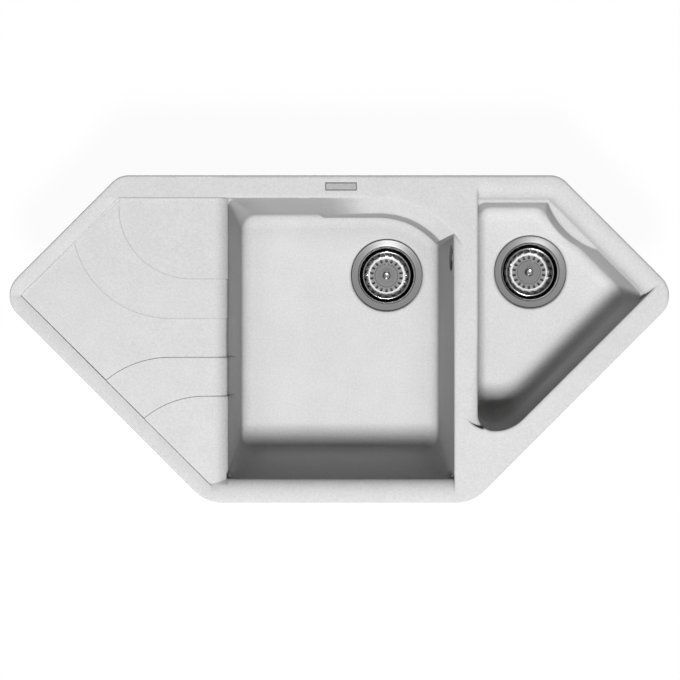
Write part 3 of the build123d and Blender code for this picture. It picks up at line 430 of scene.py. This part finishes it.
# %% Ringed steel on the wastes
BASKET_RIBS = 18
WASTE_MIDDLES = {"main": (0.075, 0.1), "small": (0.3, 0.1045)}
# radius and brightness: the steel's own grey with painted shade and highlight rings
FLANGE_TONES_AND_PAINTED_LIGHT = [(0.0425, 0.12), (0.0432, 0.8), (0.0442, 0.8), (0.045, 0.24)]
BASKET_TONES_AND_PAINTED_LIGHT = [
    (0.004, 0.3), (0.0055, 0.1), (0.0065, 0.2),  # the knob
    (0.019, 0.22), (0.0262, 0.3),  # the basket's floor
    (0.027, 0.7), (0.0295, 0.7),  # the turn up into its side
    (0.0305, 0.16), (0.036, 0.3),  # its side, up to the rim
]
FLANGE_ROUGHNESS, BASKET_ROUGHNESS = 0.16, 0.17
for bowl, middle in WASTE_MIDDLES.items():
    name = f"polished strainer steel, {bowl}"
    flange_steel = ringed_steel(name, FLANGE_TONES_AND_PAINTED_LIGHT, FLANGE_ROUGHNESS, middle)
    dress(flange_steel, f"strainer_bowl_{bowl}")
    name = f"pressed basket steel, {bowl}"
    basket_steel = ringed_steel(name, BASKET_TONES_AND_PAINTED_LIGHT, BASKET_ROUGHNESS, middle, BASKET_RIBS)
    dress(basket_steel, f"basket_{bowl}", f"basket_knob_{bowl}")

# %% Plain steel on the small parts
both = tuple(WASTE_MIDDLES)
screws = [f"{part}_{bowl}" for bowl in both for part in ("clamp_screw", "stem_nut")]
dress(steel("screw steel", level=0.55, roughness=0.3), *screws, "overflow_screw")
dress(steel("clip steel", level=0.5, roughness=0.4), "fixing_clips", "clip_screws")
dress(steel("polished rosette steel", level=0.16, roughness=0.25), "overflow_rosette")

# %% [markdown]
# The badge is a thin plate that is brushed in the middle and is darker along its edge all round. A
# spot's distance from the nearest edge picks the tone, and a noise that is packed closer across
# the plate than along it leaves the brush marks.

# %% Badge
EDGE = 0.0018  # width of the darker edge
EDGE_TONE, PLATE_TONE = 0.1, 0.36
badge, tree, shader = new_material("badge steel", Metallic=1.0)
inside = []
for along, low, high in zip(axes(tree)[:2], *extent("badge_plate")):
    half = (high - low) / 2
    inside.append(half - abs(along - (low + half)))
    print("badge side", round(2 * half, 4))
tone = fade(smaller(*inside), 0.5 * EDGE, EDGE, EDGE_TONE, PLATE_TONE)
brushed = noise(tree, density=60.0, detail=3.0, stretch=(4, 60, 1))
feed(shader, "Base Color", tone * uneven(brushed, 1.0, swing=0.6))
feed(shader, "Roughness", uneven(brushed, 0.225, swing=0.15))
dress(badge, "badge_plate")

# %% [markdown]
# ## Rubber, plastic and brass
# What sits below the worktop is moulded in black plastic with a fine matt texture, sealed with
# black rubber, and threaded into a small brass insert. Moulded plastic is never quite even, so a
# broad noise changes both its tone and its dullness a little, and a fine one lifts its grain.
# The insert is turned on a lathe, so its noise is packed closer along its axis.


# %% Matt materials
def matt(name, colour, roughness, texture=0.1):
    """a dull plastic or rubber with uneven tone; texture is how strongly its fine grain shows"""
    made, tree, shader = new_material(name)
    broad = noise(tree, density=70.0, detail=3.0)
    darker, lighter = ((*(part * share for part in colour), 1.0) for share in (0.85, 1.15))
    feed(shader, "Base Color", two_tones(broad, darker, lighter))
    feed(shader, "Roughness", uneven(broad, roughness, swing=0.16))
    grain = noise(tree, density=1500.0, detail=2.0)
    feed(shader, "Normal", lift(grain, texture, depth=0.0002))
    return made


# %% Plastic and rubber on their pieces
black_plastic = matt("black plastic", (0.035, 0.035, 0.036), roughness=0.45, texture=0.15)
dress(black_plastic, *(f"waste_body_{bowl}" for bowl in both), "inlet_cap")
dress(black_plastic, "overflow_hood", "overflow_pipe", "pipe_nuts")
rubber = matt("black rubber", (0.02, 0.02, 0.02), roughness=0.7, texture=0.2)
seals = [f"{part}_{bowl}" for bowl in both for part in ("flange_seal", "body_gasket")]
dress(rubber, *seals, "overflow_seal")
stopper_rubber = matt("stopper rubber", (0.04, 0.04, 0.04), roughness=0.6)
dress(stopper_rubber, *(f"basket_stopper_{bowl}" for bowl in both))
dress(matt("foam strip", (0.06, 0.06, 0.06), roughness=0.9, texture=0.5), "rim_seal")
dress(matt("natural nylon", (0.75, 0.73, 0.66), roughness=0.45), "clip_sockets")

# %% Brass
BRASS_DARK, BRASS_LIGHT = (0.6, 0.4, 0.15, 1.0), (0.78, 0.56, 0.24, 1.0)
brass, tree, shader = new_material("turned brass", Metallic=1.0)
turning = noise(tree, density=60.0, detail=2.0, stretch=(1, 1, 40))
feed(shader, "Base Color", two_tones(turning, BRASS_DARK, BRASS_LIGHT))
feed(shader, "Roughness", uneven(turning, 0.3, swing=0.2))
dress(brass, *(f"screw_insert_{bowl}" for bowl in both))

# %% [markdown]
# ## Studio
# The photograph looks straight down on the sink, on plain white. One soft lamp hangs high above,
# towards the front, so that the walls of the bowls fall off into grey, and a faint world gives
# the rest. The floor lies just under the lowest piece. Camera rays and mirror rays see floor and
# world as plain white, which adds no light to dull surfaces.


# %% Which rays see the white background
def sees_background(tree):
    """1 for rays from the camera and rays mirrored or let through by a surface, else 0"""
    path = node(tree, "ShaderNodeLightPath").socket.node
    camera_ray, glossy_ray, transmission_ray = (
        Link(tree, path.outputs[f"Is {kind} Ray"]) for kind in ("Camera", "Glossy", "Transmission")
    )
    return smaller(camera_ray + glossy_ray + transmission_ray, 1.0)


# %% Floor
FLOOR_SIZE = 12
FLOOR_GAP = 0.01
FLOOR_WHITE = 0.96  # the rest of what the camera sees is the floor's paint with its shadow
floor_z = cad_box[0].z - FLOOR_GAP
for other in bpy.context.selected_objects:
    other.select_set(False)
bpy.ops.mesh.primitive_plane_add(size=FLOOR_SIZE, location=(0, 0, floor_z))
bpy.ops.object.transform_apply(location=True, rotation=True, scale=True)
floor = bpy.context.object
floor.name = "studio_floor"
floor_paint, tree, shader = new_material("studio floor", Base_Color=grey(0.9), Roughness=0.9)
glow = node(tree, "ShaderNodeEmission", inputs={"Color": grey(1.0), "Strength": 1.0})
shares = {0: sees_background(tree) * FLOOR_WHITE, 1: Link(tree, shader.outputs[0]), 2: glow}
mixed = node(tree, "ShaderNodeMixShader", inputs=shares)
tree.links.new(mixed.socket, tree.nodes["Material Output"].inputs["Surface"])
floor.data.materials.append(floor_paint)
print("floor at", round(floor_z, 4))


# %% Lamp
def soft_lamp(name, place_at, size, power):
    """a square lamp that faces the middle of the sink"""
    data = bpy.data.lights.new(name, "AREA")
    data.shape = "SQUARE"
    data.size = size
    data.energy = power
    lamp = bpy.data.objects.new(name, data)
    bpy.context.scene.collection.objects.link(lamp)
    lamp.location = place_at
    lamp.rotation_euler = (-Vector(place_at)).to_track_quat("-Z", "Y").to_euler()
    print(name, "at", place_at)


soft_lamp("ceiling lamp", place_at=(0, -1.9, 5.0), size=0.9, power=410)

# %% World
WORLD_FILL = 0.03  # strength for dull surfaces, against 1 for the background
world = bpy.data.worlds.new("studio")
world.use_nodes = True
sky = world.node_tree
background = sky.nodes["Background"]
background.inputs["Color"].default_value = grey(1.0)
feed(background, "Strength", sees_background(sky) * (1.0 - WORLD_FILL) + WORLD_FILL)
bpy.context.scene.world = world
print("world fill", WORLD_FILL)

# %% [markdown]
# The camera's height above the rim is an estimate that fits how much of the walls shows. The
# middle of the view isn't the middle of the frame, because the picture was cropped a little, so
# the lens is shifted by the difference.

# %% Camera
FRAME_PX = 680
VIEW_MIDDLE_PX = (343, 323)
VIEW_MIDDLE = (0.0055, 0.0242)  # the point on the sink that is seen there
FRAME_WIDTH = 1.03  # across the frame at the rim
CAMERA_HEIGHT = 4.11
camera_data = bpy.data.cameras.new("camera")
camera = bpy.data.objects.new("camera", camera_data)
bpy.context.scene.collection.objects.link(camera)
camera.location = (*VIEW_MIDDLE, CAMERA_HEIGHT)
camera_data.lens = camera_data.sensor_width * (CAMERA_HEIGHT - cad_box[1].z) / FRAME_WIDTH
camera_data.shift_x = (FRAME_PX / 2 - VIEW_MIDDLE_PX[0]) / FRAME_PX
camera_data.shift_y = (VIEW_MIDDLE_PX[1] - FRAME_PX / 2) / FRAME_PX
bpy.context.scene.camera = camera
bpy.context.scene.view_settings.view_transform = "Standard"
print("lens", round(camera_data.lens, 1))
